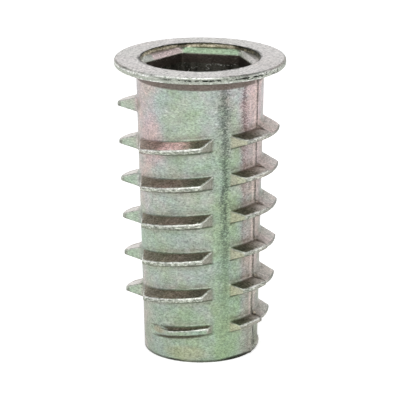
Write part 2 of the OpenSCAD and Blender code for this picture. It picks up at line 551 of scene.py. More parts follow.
on_tooth = add(tree, "MapRange", proud, *TOOTH_FOOT)
on_tooth = add(tree, "Math", on_tooth, below_flange, operation="MULTIPLY")
edge = add(tree, "Attribute", attribute_name="smoothing_lift").node.outputs["Fac"]

# -------------------------------------------------------- finish: the chromate film
# The film is dipped on and gives the grey zinc a pale colour of its thickness: pink
# where it is thin, grey, then green. It drifts in wide soft patches, a little warmer
# or colder from place to place, and the colour is darker towards the bottom.
FILM = (
    # thickness, colour
    (0.0, "#ccb8b7"),
    (0.25, "#c2b9b7"),
    (0.5, "#b7bbb6"),
    (0.75, "#afbcae"),
    (1.0, "#a9bca3"),
)
FILM_PATCHES = (
    # angle, height, half-width in degrees, half-height, change of the thickness
    (-132, 25, 26, 9, -0.3),
    (-110, 22.6, 16, 2.1, -0.42),
    (-86, 25.6, 20, 4.0, 0.3),
    (-60, 25, 14, 6, 0.12),
    (-138, 3, 16, 6, -0.2),
    (-172, 15, 18, 30, 0.35),
    (-6, 17, 16, 16, -0.42),
    (-30, 11, 10, 13, 0.34),
    (-42, 11, 7, 13, 0.3),
    (-80, 20, 26, 1.6, -0.05),
    (-12, 9, 14, 7, 0.14),
    (-27, 25, 8, 4, 0.12),
    (-85, 8, 48, 12, 0.2),
    (30, 22, 30, 10, -0.2),
    (106, 29.3, 28, 0.9, 0.7),
    (166, 29.3, 24, 0.9, -0.35),
    (100, 9, 40, 8, 0.3),
)
PATCH_EDGE = 2.2
# A value that ends in _W is the width of a pattern's spots, in millimetres. A noise
# takes its place, scale, detail and roughness.
DRIFT_W, MOTTLE_W, HUE_W, CLOUD_W = 6.25, 1.25, 2.632, 1.111
DRIFT_SHARE, MOTTLE_SHARE, FILM_BASE = 1.1, 0.9, -0.5
WARM, COLD = (0.35, 0.65, 0.97, 1.03), (0.35, 0.65, 1.05, 0.95)
DARKENING_TOP, DARKENED = 27, (0.77, 0.83, 0.74)  # red, green and blue left at the foot
CLOUDS = (0.3, 0.7, 0.86, 1.12)
drift = add(tree, "TexNoise", place, 1 / DRIFT_W, 2.0, 0.5)
mottle = add(tree, "TexNoise", place, 1 / MOTTLE_W, 3.0, 0.6)
film = add(tree, "Math", drift, DRIFT_SHARE, FILM_BASE, operation="MULTIPLY_ADD")
film = add(tree, "Math", mottle, MOTTLE_SHARE, film, operation="MULTIPLY_ADD")
soft = {"interpolation_type": "SMOOTHSTEP"}
for turn, high, half_wide, half_high, change in FILM_PATCHES:
    aside = add(tree, "Math", azimuth, turn, operation="SUBTRACT")
    aside = add(tree, "Math", aside, half_wide, operation="DIVIDE")
    aside = add(tree, "Math", aside, 2.0, operation="POWER")
    up = add(tree, "Math", height, high, operation="SUBTRACT")
    up = add(tree, "Math", up, half_high, operation="DIVIDE")
    away = add(tree, "Math", up, up, aside, operation="MULTIPLY_ADD")
    patch = add(tree, "MapRange", away, 0.0, PATCH_EDGE, change, 0, **soft)
    film = add(tree, "Math", film, patch, operation="ADD")
tint = add(tree, "ValToRGB", film)
ramp = tint.node.color_ramp
for at, colour in FILM[1:-1]:
    ramp.elements.new(at)
for element, (at, colour) in zip(ramp.elements, FILM):
    element.position, element.color = at, linear(colour)
hue = add(tree, "TexNoise", place, 1 / HUE_W, 2.0, 0.6)
warm = add(tree, "MapRange", hue, *WARM)
cold = add(tree, "MapRange", hue, *COLD)
hue = add(tree, "CombineColor", warm, 1.0, cold)
tint = add(tree, "Mix", 1.0, tint, hue, blend_type="MULTIPLY", **mix)
darkened = [add(tree, "MapRange", height, 0, DARKENING_TOP, low, 1) for low in DARKENED]
darkened = add(tree, "CombineColor", *darkened)
colour = add(tree, "Mix", 1.0, tint, darkened, blend_type="MULTIPLY", **mix)
cloud = add(tree, "TexNoise", squat, 1 / CLOUD_W, 3.0, 0.65)
cloud = add(tree, "MapRange", cloud, *CLOUDS)
colour = add(tree, "Mix", 1.0, colour, cloud, blend_type="MULTIPLY", **mix)

# ---------------------------------------------------------------- finish: painted dark streaks
# Dark streaks are painted down the walls: a grey-green one with a dark core between
# the face teeth and the side teeth is a painted reflection of a dark strip; there is a
# purplish one before the parting line; dusty ones on both sides of that line are painted
# shade low down; and there is one at the back. Grains crowd to their middle.
PAINTED_STREAKS = (
    # angle, half-width in degrees, height of the end, of the full streak, colour, share
    (-42, 20, 0, 22, "#7d867b", 0.36),
    (-38.8, 6.4, 1, 15, "#3d4840", 0.72),
    (-18.0, 6.0, 2, 24, "#5c4242", 0.78),
    (-8, 12, 27, 19, "#7c7a6e", 0.45),
    (13, 12, 27, 19, "#6f6d62", 0.5),
    (150, 7, 2, 18, "#566050", 0.6),
)
GRAINS_W, BENDS_W = 0.2273, 2.0
SWAY, CROWDING = 9.0, 0.25  # degrees to either side in all, pull to the middle
STREAK_EDGE = (0.53, 0.78)
WALL_END = (0.02, 0.3, 1, 0)
grains = add(tree, "TexNoise", squat, 1 / GRAINS_W, 2.0, 0.8)
bends = add(tree, "TexNoise", place, 1 / BENDS_W, 1.0, 0.5)
bent = add(tree, "Math", bends, SWAY, azimuth, operation="MULTIPLY_ADD")
bent = add(tree, "Math", bent, SWAY / 2, operation="SUBTRACT")
on_wall = add(tree, "MapRange", proud, *WALL_END)
on_wall = add(tree, "Math", on_wall, outside, operation="MULTIPLY")
for turn, half_wide, end, full, shade, share in PAINTED_STREAKS:
    aside = add(tree, "Math", bent, turn, operation="SUBTRACT")
    aside = add(tree, "Math", aside, operation="ABSOLUTE")
    crowd = (0, 2 * half_wide, CROWDING, -CROWDING)
    near = add(tree, "MapRange", aside, *crowd, clamp=False)
    dark = add(tree, "Math", near, grains, operation="ADD")
    dark = add(tree, "MapRange", dark, *STREAK_EDGE, 0, share)
    reach = add(tree, "MapRange", height, end, full)
    for mask in (reach, on_wall):
        dark = add(tree, "Math", dark, mask, operation="MULTIPLY")
    colour = add(tree, "Mix", dark, colour, linear(shade), **mix)

# ------------------------------------------------------------ finish: upward flanks
# The flanks that face up are painted dark brown as shade, darker still at the trail of
# the face teeth, with a painted pink reflection on the first and olive shade on the side
# teeth. Beyond the parting line the painted shade is lifted pale, with darker painted
# shade left at the roots, and far round on the low side it is painted pale as lit.
BLOTCH_W = 0.7143
UP_FLANK, FLANK_SHADE_FADE = (0.8, 0.9), (-14, 3, 1, 0.45)
SHADE_SPOTS, FLANK_SHADE, FLANK_SHADE_PALE = (0.35, 0.65), "#857d6c", "#a0988a"
DUSK, DUSK_END, DUSKY = (-96, -66, 0, 0.55), (-50, -45, 1, 0), "#5d514e"
GLOW_TURN, GLOW_SPAN, GLOW_TAIL = -84.0, (2, 19, 1, 0), (-86, -96, 0, 0.22)
FIRST_FLANK, PINK_REFLECTION = (first_z - 2.64, first_z - 0.94, 0.2, 1), "#ffd3d2"
SIDE_TEETH, OLIVE_SHADE = (-50, -40, 0, 0.75), "#6a715e"
CRUMBS = (0.36, 0.64, 0.6, 1.4)
LIFT_RAGGED, SHADE_LIFT, LIFTED_SHADE = 24.0, (-6, 14), "#f0e4de"  # ragged in degrees
TOOTH_ROOT, ROOT_BLOTS, ROOT_SHADE = (1.5, 0.2, 0, 0.9), (0.38, 0.54), "#8b8171"
FAR_LEFT, FAR_LEFT_END, LIT_PALE = (-142, -148, 0, 0.9), (-178, -164), "#f0ebe6"
up_flank = add(tree, "MapRange", facing["Z"], *UP_FLANK)
up_flank = add(tree, "Math", up_flank, on_tooth, operation="MULTIPLY")
flank_shade_share = add(tree, "MapRange", azimuth, *FLANK_SHADE_FADE)
flank_shade_share = add(tree, "Math", flank_shade_share, up_flank, operation="MULTIPLY")
blotches = add(tree, "TexNoise", squat, 1 / BLOTCH_W, 3.0, 0.7)
flank_shade = add(tree, "MapRange", blotches, *SHADE_SPOTS)
flank_shade = add(tree, "Mix", flank_shade, linear(FLANK_SHADE), linear(FLANK_SHADE_PALE), **mix)
dusk = add(tree, "MapRange", azimuth, *DUSK)
dusk_end = add(tree, "MapRange", azimuth, *DUSK_END)
dusk = add(tree, "Math", dusk, dusk_end, operation="MULTIPLY")
flank_shade = add(tree, "Mix", dusk, flank_shade, linear(DUSKY), **mix)
glow = add(tree, "Math", azimuth, GLOW_TURN, operation="SUBTRACT")
glow = add(tree, "Math", glow, operation="ABSOLUTE")
glow = add(tree, "MapRange", glow, *GLOW_SPAN, **soft)
glow_tail = add(tree, "MapRange", azimuth, *GLOW_TAIL)
glow = add(tree, "Math", glow, glow_tail, operation="MAXIMUM")
first_flank = add(tree, "MapRange", height, *FIRST_FLANK)
glow = add(tree, "Math", glow, first_flank, operation="MULTIPLY")
flank_shade = add(tree, "Mix", glow, flank_shade, linear(PINK_REFLECTION), **mix)
side_teeth = add(tree, "MapRange", azimuth, *SIDE_TEETH)
flank_shade = add(tree, "Mix", side_teeth, flank_shade, linear(OLIVE_SHADE), **mix)
crumbs = add(tree, "MapRange", grains, *CRUMBS)
flank_shade = add(tree, "Mix", 1.0, flank_shade, crumbs, blend_type="MULTIPLY", **mix)
ragged = add(tree, "Math", grains, LIFT_RAGGED, azimuth, operation="MULTIPLY_ADD")
shade_lift = add(tree, "MapRange", ragged, *SHADE_LIFT)
flank_shade = add(tree, "Mix", shade_lift, flank_shade, linear(LIFTED_SHADE), **mix)
rooted = add(tree, "MapRange", proud, *TOOTH_ROOT)
blots = add(tree, "MapRange", grains, *ROOT_BLOTS)
for mask in (shade_lift, blots):
    rooted = add(tree, "Math", rooted, mask, operation="MULTIPLY")
flank_shade = add(tree, "Mix", rooted, flank_shade, linear(ROOT_SHADE), **mix)
far_left = add(tree, "MapRange", azimuth, *FAR_LEFT)
far_left_end = add(tree, "MapRange", azimuth, *FAR_LEFT_END)
far_left = add(tree, "Math", far_left, far_left_end, operation="MULTIPLY")
flank_shade = add(tree, "Mix", far_left, flank_shade, linear(LIT_PALE), **mix)
colour = add(tree, "Mix", flank_shade_share, colour, flank_shade, **mix)

# -------------------------------------------------------- finish: ends of the teeth
# The die cut the teeth off in upright planes. Each end is coloured by the way it faces:
# grey on the ends that trail, yellowish on the ends of the side teeth that lead, and
# green on the ends of the low side teeth.
BELOW_CREST, UPRIGHT = (0.08, 0.2), (0.6, 0.4)
TRAIL, TRAIL_GREY = (0.5, 0.8, 0, 0.85), "#9b988d"
LEAD, LEAD_YELLOW, SIDE_ENDS = (-0.5, -0.8, 0, 0.6), "#bcb59a", (-55, -45)
LOW_SIDE, LOW_SIDE_GREEN = (-0.5, -0.8, 0, 0.7), "#abbda6"
crest_line = (0, TOTAL_H, CREST_D_BOTTOM / 2, CREST_D_TOP / 2)
crest = add(tree, "MapRange", height, *crest_line)
short = add(tree, "Math", crest, radius, operation="SUBTRACT")
below_crest = add(tree, "MapRange", short, *BELOW_CREST)
upright = add(tree, "Math", facing["Z"], operation="ABSOLUTE")
upright = add(tree, "MapRange", upright, *UPRIGHT)
end_face = on_tooth
for mask in (below_crest, upright):
    end_face = add(tree, "Math", end_face, mask, operation="MULTIPLY")
trail = add(tree, "MapRange", facing["X"], *TRAIL)
trail = add(tree, "Math", trail, end_face, operation="MULTIPLY")
colour = add(tree, "Mix", trail, colour, linear(TRAIL_GREY), **mix)
lead = add(tree, "MapRange", facing["Y"], *LEAD)
side_ends = add(tree, "MapRange", azimuth, *SIDE_ENDS)
for mask in (side_ends, end_face):
    lead = add(tree, "Math", lead, mask, operation="MULTIPLY")
colour = add(tree, "Mix", lead, colour, linear(LEAD_YELLOW), **mix)
low_side = add(tree, "MapRange", facing["Y"], *LOW_SIDE)
for mask in (far_left, end_face):
    low_side = add(tree, "Math", low_side, mask, operation="MULTIPLY")
colour = add(tree, "Mix", low_side, colour, linear(LOW_SIDE_GREEN), **mix)

# ----------------------------------------------------------- finish: flange and rim
# The flange's top is paler. Its rim carries broken lines: a painted highlight along the
# upper edge, a row of dark specks half way down, and a pale line near its foot.
SPECKS_W = 0.5882
TOP_FACE, FLAT_UP = (TOTAL_H - 0.14, TOTAL_H - 0.06, 0, 0.88), (0.8, 0.95)
TOP_PALE = "#e2dedc"
rim_out = (FLANGE_D - BODY_D_TOP) / 2
RIM, LINE_FADE, SPECK_EDGE = (rim_out - 0.35, rim_out - 0.25), 8, 0.05
ALL_ROUND = 999
RIM_HIGHLIGHTS_AND_SPECKS = (
    # drop from the top, half-height, angle, reach in degrees, least speck, colour
    (0.4, 0.4, 0, ALL_ROUND, 0.0, "#b0b5aa"),
    (0.06, 0.06, -125, 45, 0.5, "#81867c"),
    # the next two are painted highlights along the upper edge
    (0.22, 0.1, -128, 34, 0.42, "#fbfcf8"),
    (0.24, 0.1, -18, 20, 0.46, "#fbfcf8"),
    (0.2, 0.1, -66, 28, 0.42, "#979d91"),
    (0.07, 0.08, -84, 28, 0.42, "#eef0ea"),
    (0.33, 0.12, -53, 30, 0.47, "#23261f"),
    (0.38, 0.28, -3, 25, 0.525, "#2f322b"),
    (0.64, 0.09, -70, 60, 0.52, "#f4f6f0"),
    (0.4, 0.15, 110, 60, 0.5, "#4c5046"),
)
specks = add(tree, "TexNoise", squat, 1 / SPECKS_W, 4.0, 0.75)
top = add(tree, "MapRange", height, *TOP_FACE)
flat_up = add(tree, "MapRange", facing["Z"], *FLAT_UP)
top = add(tree, "Math", top, flat_up, operation="MULTIPLY")
colour = add(tree, "Mix", top, colour, linear(TOP_PALE), **mix)
on_rim = add(tree, "MapRange", proud, *RIM)
for drop, half_high, turn, reach, least, shade in RIM_HIGHLIGHTS_AND_SPECKS:
    aside = add(tree, "Math", azimuth, turn, operation="SUBTRACT")
    aside = add(tree, "Math", aside, operation="ABSOLUTE")
    line = add(tree, "MapRange", aside, reach, reach + LINE_FADE, 1, 0)
    up = add(tree, "Math", height, TOTAL_H - drop, operation="SUBTRACT")
    up = add(tree, "Math", up, operation="ABSOLUTE")
    thin_out = add(tree, "MapRange", up, half_high / 2, half_high, 1, 0)
    broken = add(tree, "MapRange", specks, least, least + SPECK_EDGE)
    for mask in (thin_out, on_rim, broken):
        line = add(tree, "Math", line, mask, operation="MULTIPLY")
    colour = add(tree, "Mix", line, colour, linear(shade), **mix)

# --------------------------------------------------------- finish: mouth and socket
# The film is green, pink or bare on the flats of the lead-in, and olive on the wall
# of the mouth, which has a dark ragged burr on one side. The hex below is painted dark
# as shade, streaked lengthwise, with a few fine curled scratches.
mouth_r, mouth_z = MOUTH_D / 2, TOTAL_H - MOUTH_H
INSIDE_MOUTH = (mouth_r + 0.12, mouth_r + 0.05)
LEAD_IN, LEAD_GREEN = (lead_z - 0.08, lead_z + 0.02, 0, 0.7), "#84987f"
LEAD_LEFT, LEAD_PINK = (134, 138), "#f2dcda"
LEAD_RIGHT, LEAD_BARE = (78, 74), "#d6d4d0"
MOUTH_WALL, MOUTH_SPOTS = (mouth_z - 0.02, mouth_z + 0.04, 0, 0.95), (0.42, 0.58)
MOUTH_OLIVE, MOUTH_PALE = "#777059", "#cec6b0"
BURR_START, BURR_END, BURR_GAPS = (20, 30), (84, 74), (0.43, 0.52)
BURR_DARK = "#25261e"
HEX_SKIN, HEX_TOP, HEX_FOOT = (-0.12, -0.2), (lead_z + 0.02, lead_z - 0.08), (0.1, 0.4)
SOCKET_SHADE_W, SOCKET_SHADE_LENGTHEN, SOCKET_SHADE_SPOTS = 0.7692, 0.12, (0.38, 0.62)
SOCKET_SHADE_DARK, SOCKET_SHADE_PALE = "#525149", "#8c8a80"
CURL_W, CURL_TWIST, CURL_RIDGE = 0.9091, 0.6, 0.5
SCRATCH, SCRATCH_SPOTS, SCRATCH_BRIGHT = (0.012, 0.03, 1, 0), (0.52, 0.58), "#fffff8"
in_mouth = add(tree, "MapRange", radius, *INSIDE_MOUTH)
lead_in = add(tree, "MapRange", height, *LEAD_IN)
lead_in = add(tree, "Math", lead_in, in_mouth, operation="MULTIPLY")
back = add(tree, "Math", azimuth, operation="ABSOLUTE")
lead_left = add(tree, "MapRange", back, *LEAD_LEFT)
lead_tone = add(tree, "Mix", lead_left, linear(LEAD_GREEN), linear(LEAD_PINK), **mix)
lead_right = add(tree, "MapRange", azimuth, *LEAD_RIGHT)
lead_tone = add(tree, "Mix", lead_right, lead_tone, linear(LEAD_BARE), **mix)
colour = add(tree, "Mix", lead_in, colour, lead_tone, **mix)
mouth = add(tree, "MapRange", height, *MOUTH_WALL)
mouth = add(tree, "Math", mouth, in_mouth, operation="MULTIPLY")
olive = add(tree, "MapRange", specks, *MOUTH_SPOTS)
olive = add(tree, "Mix", olive, linear(MOUTH_OLIVE), linear(MOUTH_PALE), **mix)
colour = add(tree, "Mix", mouth, colour, olive, **mix)
burr = add(tree, "MapRange", azimuth, *BURR_START)
burr_end = add(tree, "MapRange", azimuth, *BURR_END)
burr_gaps = add(tree, "MapRange", specks, *BURR_GAPS)
for mask in (burr_end, mouth, burr_gaps):
    burr = add(tree, "Math", burr, mask, operation="MULTIPLY")
colour = add(tree, "Mix", burr, colour, linear(BURR_DARK), **mix)
socket = add(tree, "MapRange", proud, *HEX_SKIN)
hex_top = add(tree, "MapRange", height, *HEX_TOP)
hex_foot = add(tree, "MapRange", height, *HEX_FOOT)
for mask in (hex_top, hex_foot):
    socket = add(tree, "Math", socket, mask, operation="MULTIPLY")
tall = add(tree, "VectorMath", place, (1, 1, SOCKET_SHADE_LENGTHEN), operation="MULTIPLY")
socket_shade = add(tree, "TexNoise", tall, 1 / SOCKET_SHADE_W, 2.0, 0.6)
socket_shade = add(tree, "MapRange", socket_shade, *SOCKET_SHADE_SPOTS)
socket_shade = add(tree, "Mix", socket_shade, linear(SOCKET_SHADE_DARK), linear(SOCKET_SHADE_PALE), **mix)
colour = add(tree, "Mix", socket, colour, socket_shade, **mix)
curls = add(tree, "TexNoise", squat, 1 / CURL_W, 1.0, 0.5, 2.0, CURL_TWIST)
curls = add(tree, "Math", curls, CURL_RIDGE, operation="SUBTRACT")
curls = add(tree, "Math", curls, operation="ABSOLUTE")
scratch = add(tree, "MapRange", curls, *SCRATCH)
scratch_spots = add(tree, "MapRange", blotches, *SCRATCH_SPOTS)
for mask in (scratch_spots, socket):
    scratch = add(tree, "Math", scratch, mask, operation="MULTIPLY")
colour = add(tree, "Mix", scratch, colour, linear(SCRATCH_BRIGHT), **mix)

# ------------------------------------------------------------- finish: painted edge highlights
# Crests and edges that face up are painted bright as highlights, in broken dashes, more
# at some angles round the axis than at others. Where the highlight share is low those
# edges are painted dull as shade, and the lip of the mouth is lined with dark dashes.
HIGHLIGHT_SHARES = (
    # angle, share of the edges that is painted as highlight there
    (-180, 0.6),
    (-150, 0.5),
    (-124, 0.15),
    (-116, 1.0),
    (-50, 1.0),
    (-40, 0.1),
    (-30, 0.2),
    (-20, 1.0),
    (-9, 1.0),
    (-2, 0.5),
    (6, 0.2),
    (12, 0.0),
    (40, 0.0),
    (90, 0.8),
    (180, 0.6),
)
CREST_SPOT_W = 0.3571
CREST, CREST_SPOTS = (0.22, 0.12, 0, 0.8), (0.44, 0.6)
CREST_SHADE, CREST_HIGHLIGHT = "#75776c", "#d8dccf"
SHARP, FRAYED = (-0.008, -0.02), (0, 1, 0.014, -0.014)
UPPER_SIDE, DASHES = (0.0, 0.3), (0.4, 0.52, 0.2, 0.95)
UNLIT, EDGE_SHADE, EDGE_HIGHLIGHT = (0, 1, 0.8, 0), "#6a6a60", "#f4f5ee"
OFF_MOUTH, RIM_KEPT = (mouth_r + 0.2, mouth_r + 0.4), (0, 1, 1, 0.15)
LIP, LIP_SIDE = (-0.004, -0.012), (mouth_r + 0.4, mouth_r + 0.2)
LIP_TOP = (TOTAL_H - 0.3, TOTAL_H - 0.2)
LIP_DASHES, LIP_DARK = (0.36, 0.44), "#26271d"
round_axis = add(tree, "MapRange", azimuth, -180, 180)
highlight_share = add(tree, "ValToRGB", round_axis)
ramp = highlight_share.node.color_ramp
for turn, share in HIGHLIGHT_SHARES[1:-1]:
    ramp.elements.new((turn + 180) / 360)
for element, (turn, share) in zip(ramp.elements, HIGHLIGHT_SHARES):
    element.position, element.color = (turn + 180) / 360, (share, share, share, 1)
crown = add(tree, "MapRange", short, *CREST)
for mask in (on_tooth, upright):
    crown = add(tree, "Math", crown, mask, operation="MULTIPLY")
crest_sheen = add(tree, "TexNoise", squat, 1 / CREST_SPOT_W, 3.0, 0.8)
crest_sheen = add(tree, "MapRange", crest_sheen, *CREST_SPOTS)
crest_sheen = add(tree, "Math", crest_sheen, highlight_share, operation="MULTIPLY")
crest_sheen = add(tree, "Mix", crest_sheen, linear(CREST_SHADE), linear(CREST_HIGHLIGHT), **mix)
colour = add(tree, "Mix", crown, colour, crest_sheen, **mix)
frayed = add(tree, "MapRange", specks, *FRAYED)
frayed = add(tree, "Math", frayed, edge, operation="ADD")
lit_edge = add(tree, "MapRange", frayed, *SHARP)
upper_side = add(tree, "MapRange", facing["Z"], *UPPER_SIDE)
dashes = add(tree, "MapRange", specks, *DASHES)
for mask in (upper_side, dashes):
    lit_edge = add(tree, "Math", lit_edge, mask, operation="MULTIPLY")
unlit_edge = add(tree, "MapRange", highlight_share, *UNLIT)
unlit_edge = add(tree, "Math", unlit_edge, lit_edge, operation="MULTIPLY")
colour = add(tree, "Mix", unlit_edge, colour, linear(EDGE_SHADE), **mix)
off_mouth = add(tree, "MapRange", radius, *OFF_MOUTH)
rim_kept = add(tree, "MapRange", on_rim, *RIM_KEPT)
for mask in (highlight_share, off_mouth, rim_kept):
    lit_edge = add(tree, "Math", lit_edge, mask, operation="MULTIPLY")
colour = add(tree, "Mix", lit_edge, colour, linear(EDGE_HIGHLIGHT), **mix)
lip = add(tree, "MapRange", edge, *LIP)
lip_side = add(tree, "MapRange", radius, *LIP_SIDE)
lip_top = add(tree, "MapRange", height, *LIP_TOP)
lip_dashes = add(tree, "MapRange", specks, *LIP_DASHES)
for mask in (lip_side, lip_top, lip_dashes):
    lip = add(tree, "Math", lip, mask, operation="MULTIPLY")
colour = add(tree, "Mix", lip, colour, linear(LIP_DARK), **mix)

# --------------------------------------------------------- finish: painted shade in corners and below
# Shade is painted where little light reaches: brown creeps out of every inside corner,
# the neck under the flange is painted brown all round as the flange's shadow, and edges
# that face down are painted dark.
SHELTER_REACH, CORNER, CORNER_SHADE = 0.9, (0.95, 0.5, 0, 0.85), "#8a7b6b"
NECK, NECK_TOP = (fillet_z - 0.2, fillet_z - 0.05, 0, 0.95), (BODY_H, BODY_H + 0.1, 1, 0)
NECK_UNDER, NECK_SIDE, NECK_SHADOW = (0.2, 0.0), (1.6, 1.2), "#70655e"
UNDER, UNDER_EDGE, UNDER_SHADE = (-0.2, -0.5, 0, 0.85), (-0.003, -0.012), "#665b4e"
UNDER_GAPS, UNDER_RIM = (0.44, 0.56, 0.4, 1), (rim_out - 0.65, rim_out - 0.55, 1, 0)
lit, reach = (1, 1, 1, 1), SHELTER_REACH * MM
shelter = add(tree, "AmbientOcclusion", lit, reach, only_local=True)
shelter = shelter.node.outputs["AO"]
corner = add(tree, "MapRange", shelter, *CORNER)
corner = add(tree, "Math", corner, outside, operation="MULTIPLY")
colour = add(tree, "Mix", corner, colour, linear(CORNER_SHADE), **mix)
neck = add(tree, "MapRange", height, *NECK)
neck_under = add(tree, "MapRange", facing["Z"], *NECK_UNDER)
neck_side = add(tree, "MapRange", proud, *NECK_SIDE)
neck_top = add(tree, "MapRange", height, *NECK_TOP)
for mask in (neck_under, neck_side, neck_top):
    neck = add(tree, "Math", neck, mask, operation="MULTIPLY")
colour = add(tree, "Mix", neck, colour, linear(NECK_SHADOW), **mix)
under = add(tree, "MapRange", facing["Z"], *UNDER)
under_gaps = add(tree, "MapRange", specks, *UNDER_GAPS)
under_edge = add(tree, "MapRange", edge, *UNDER_EDGE)
off_rim = add(tree, "MapRange", proud, *UNDER_RIM)
off_rim = add(tree, "Math", off_rim, below_flange, operation="MAXIMUM")
for mask in (under_gaps, under_edge, outside, off_rim):
    under = add(tree, "Math", under, mask, operation="MULTIPLY")
colour = add(tree, "Mix", under, colour, linear(UNDER_SHADE), **mix)

# ------------------------------------------------------------- finish: parting line
# A dark line is painted along the hair where the die halves met, as the hair's shadow:
# patchy on the walls, fainter over the teeth, and strayed into specks at the foot. The
# wall before it is paler.
LINE, SEAM_SHADOW = (0.6, 1.3, 0.95, 0), "#3c382f"
LINE_TOP = (TOTAL_H - 0.3, TOTAL_H - 0.15, 1, 0)
STRAYED, SPREAD = (3.2, 2.2, 0, 0.5), (2.2, 1.5, 0.15, 0.5)
HIGH_UP, HIGH_SPOTS, LOW_SPOTS = (2.6, 3.2), (0.35, 0.5, 0.45, 1), (0.46, 0.54)
LINE_GAPS = (0.4, 0.52, 0.5, 1)
OVER_TOOTH, OVER_CREST, OVER_RIGHT = (0, 1, 1, 0.6), (0.1, 0.7, 1, 0.15), (-0.1, 0.1)
PALE, PALE_END, PALE_PINK = (-0.62, -0.42), (-0.3, -0.2, 0.5, 0), "#dccbc5"
parting_line = (0, BODY_H, PARTING_FOOT, PARTING_TOP)
parting = add(tree, "MapRange", height, *parting_line)
past = add(tree, "Math", axes["Y"], parting, operation="SUBTRACT")
strayed = add(tree, "MapRange", height, *STRAYED)
off = add(tree, "Math", past, strayed, operation="SUBTRACT")
off = add(tree, "Math", off, operation="ABSOLUTE")
spread = add(tree, "MapRange", height, *SPREAD)
off = add(tree, "Math", off, spread, operation="DIVIDE")
line = add(tree, "MapRange", off, *LINE)
line_top = add(tree, "MapRange", height, *LINE_TOP)
high_up = add(tree, "MapRange", height, *HIGH_UP)
high_spots = add(tree, "MapRange", blotches, *HIGH_SPOTS)
low_spots = add(tree, "MapRange", grains, *LOW_SPOTS)
spots = add(tree, "Mix", high_up, low_spots, high_spots)
gaps = add(tree, "MapRange", specks, *LINE_GAPS)
over_tooth = add(tree, "MapRange", on_tooth, *OVER_TOOTH)
over_crest = add(tree, "MapRange", crown, *OVER_CREST)
over_right = add(tree, "MapRange", axes["X"], *OVER_RIGHT)
over_right = add(tree, "Mix", on_tooth, 1, over_right)
for mask in (outside, line_top, spots, gaps, over_tooth, over_crest, over_right):
    line = add(tree, "Math", line, mask, operation="MULTIPLY")
colour = add(tree, "Mix", line, colour, linear(SEAM_SHADOW), **mix)
pale = add(tree, "MapRange", past, *PALE)
pale_end = add(tree, "MapRange", past, *PALE_END)
for mask in (pale_end, on_wall, high_up):
    pale = add(tree, "Math", pale, mask, operation="MULTIPLY")
colour = add(tree, "Mix", pale, colour, linear(PALE_PINK), **mix)

# ------------------------------------------------------- finish: stains and painted shade at the foot
# The foot's edge is painted dark as shade, most at the front. Painted lines follow the
# fading last tooth, shade along its upper edge and its shadow below, with a brown start
# and a yellow bloom under it, and dark specks and a grey bloom lie beside the flash.
FOOT, FOOT_SHADE = (0.2, 0.36, 0.7, 0), "#4a4a42"
STAINS_AND_SHADE = (
    # angle, height, half-width in degrees, half-height, tilt, colour, share
    (-108, 3.2, 11, 0.4, TURN_TILT, "#a5977e", 0.6),
    (-113, 3.6, 10, 0.1, TURN_TILT, "#5f584a", 0.6),
    # painted shadow under the fading last tooth, then painted shade on its upper edge
    (-86, 2.56, 36, 0.22, TURN_TILT, "#4a4839", 0.9),
    (-86, 3.44, 26, 0.08, TURN_TILT, "#4a4538", 0.9),
    (-78, 1.0, 24, 0.9, 0, "#b3ac8a", 0.4),
    # painted shade on the foot's edge at the front, this and the next
    (-22, 0.16, 24, 0.3, 0, "#22231d", 0.9),
    (-90, 0.1, 12, 0.2, 0, "#2c2d26", 0.7),
    (3, 2.3, 1.8, 0.6, 0, "#34352c", 0.8),
    (4, 1.1, 1.8, 0.3, 0, "#3c3d34", 0.7),
    (10, 1.6, 10, 0.9, 0, "#77766c", 0.5),
)
MARK_EDGE = (0.8, 1.6)
foot = add(tree, "MapRange", height, *FOOT)
foot = add(tree, "Math", foot, outside, operation="MULTIPLY")
colour = add(tree, "Mix", foot, colour, linear(FOOT_SHADE), **mix)
for turn, high, half_wide, half_high, tilt, shade, share in STAINS_AND_SHADE:
    slope = -math.tan(tilt)
    up = add(tree, "Math", axes["X"], slope, height, operation="MULTIPLY_ADD")
    up = add(tree, "Math", up, high, operation="SUBTRACT")
    up = add(tree, "Math", up, half_high, operation="DIVIDE")
    aside = add(tree, "Math", azimuth, turn, operation="SUBTRACT")
    aside = add(tree, "Math", aside, half_wide, operation="DIVIDE")
    aside = add(tree, "Math", aside, 2.0, operation="POWER")
    away = add(tree, "Math", up, up, aside, operation="MULTIPLY_ADD")
    away = add(tree, "Math", away, grains, operation="ADD")
    mark = add(tree, "MapRange", away, *MARK_EDGE, share, 0)
    mark = add(tree, "Math", mark, outside, operation="MULTIPLY")
    colour = add(tree, "Mix", mark, colour, linear(shade), **mix)

# ---------------------------------------------------------- finish: grain and sheen
# Die-cast zinc is never smooth: a sandy grain with dark pits breaks up what it mirrors
# to light and dark. The real grain is too fine to show, so it is drawn a quarter of a
# millimetre wide. Less of the metal shows on the painted pink reflection and on the
# flange's top.
GRAIN_W, GRAIN_TONE = 0.2564, (0.2, 0.8, 0.3, 1.7)
PIT_W, PITS, PIT_DARK = 0.3125, (0.36, 0.29, 0, 0.5), "#5d5f56"
ROUGHNESS = (0, 1, 0.28, 0.53)
BUMP_SHARE, BUMP_H, BUMP_FILTER = 0.35, 0.04, 0.1
GLOW_METAL, TOP_METAL = (0, 1, 1, 0.5), (0, 1, 1, 0.5)
grain = add(tree, "TexNoise", squat, 1 / GRAIN_W, 3.0, 0.78)
grain_tone = add(tree, "MapRange", grain, *GRAIN_TONE)
colour = add(tree, "Mix", 1.0, colour, grain_tone, blend_type="MULTIPLY", **mix)
pits = add(tree, "TexNoise", squat, 1 / PIT_W, 2.0, 0.6)
pits = add(tree, "MapRange", pits, *PITS)
colour = add(tree, "Mix", pits, colour, linear(PIT_DARK), **mix)
rough = add(tree, "MapRange", mottle, *ROUGHNESS)
